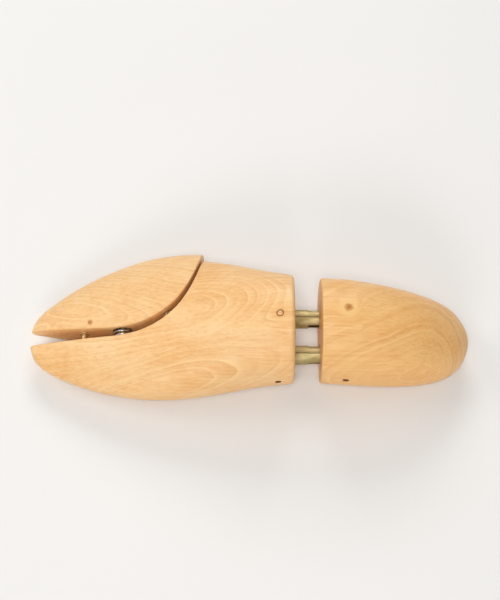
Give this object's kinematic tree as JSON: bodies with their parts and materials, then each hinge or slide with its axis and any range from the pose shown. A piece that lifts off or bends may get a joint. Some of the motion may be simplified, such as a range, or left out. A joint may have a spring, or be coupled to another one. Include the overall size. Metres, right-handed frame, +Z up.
{
  "type": "shoe tree",
  "caption": "Wooden shoe tree with a side-split forepart, a rounded heel block and twin sprung telescoping tubes between them.",
  "frame": {"origin": "centre of the object's box on the plane it stands on, at rest", "axes": "+X along the foot towards the heel, +Y towards the outer side of the foot, +Z up, away from the sole"},
  "size_m": [0.2742, 0.0948, 0.0639],
  "materials": {
    "wood_forepart": "satin waxed pale hardwood",
    "wood_wedge": "satin waxed pale hardwood",
    "wood_heel": "satin waxed pale hardwood",
    "tube_brass": "brass plated, dulled by handling",
    "pin_brass": "turned brass",
    "spring_steel": "drawn spring wire",
    "steel": "plain bright steel"
  },
  "bodies": {
    "forepart": {"forepart_body": "wood_forepart", "outer_tube_near": "tube_brass", "outer_tube_far": "tube_brass", "outer_plug_near": "steel", "outer_plug_far": "steel", "stop_rivet_near": "pin_brass", "stop_rivet_far": "pin_brass", "tube_spring_near": "spring_steel", "tube_spring_far": "spring_steel", "fore_cross_pin": "steel", "guide_pin_toe": "pin_brass", "guide_pin_ball": "pin_brass", "spring_rod": "pin_brass", "split_spring": "spring_steel"},
    "side_piece": {"side_wedge": "wood_wedge", "guide_bush_toe": "pin_brass", "guide_bush_ball": "pin_brass"},
    "heel": {"heel_block": "wood_heel", "inner_tube_near": "tube_brass", "inner_tube_far": "tube_brass", "inner_plug_near": "steel", "inner_plug_far": "steel", "heel_cross_pin": "steel"}
  },
  "joints": [
    {"name": "heel_slide", "type": "slide", "parent": "forepart", "child": "heel", "axis": [-1, 0, 0], "range_m": [0, 0.014], "stiffness_N_per_m": 1200, "springref_m": -0.01, "deforming": ["tube_spring_near", "tube_spring_far"]},
    {"name": "split_slide", "type": "slide", "parent": "forepart", "child": "side_piece", "axis": [0, -1, 0], "range_m": [0, 0.0044], "stiffness_N_per_m": 1500, "springref_m": -0.004, "deforming": ["split_spring"]}
  ]
}
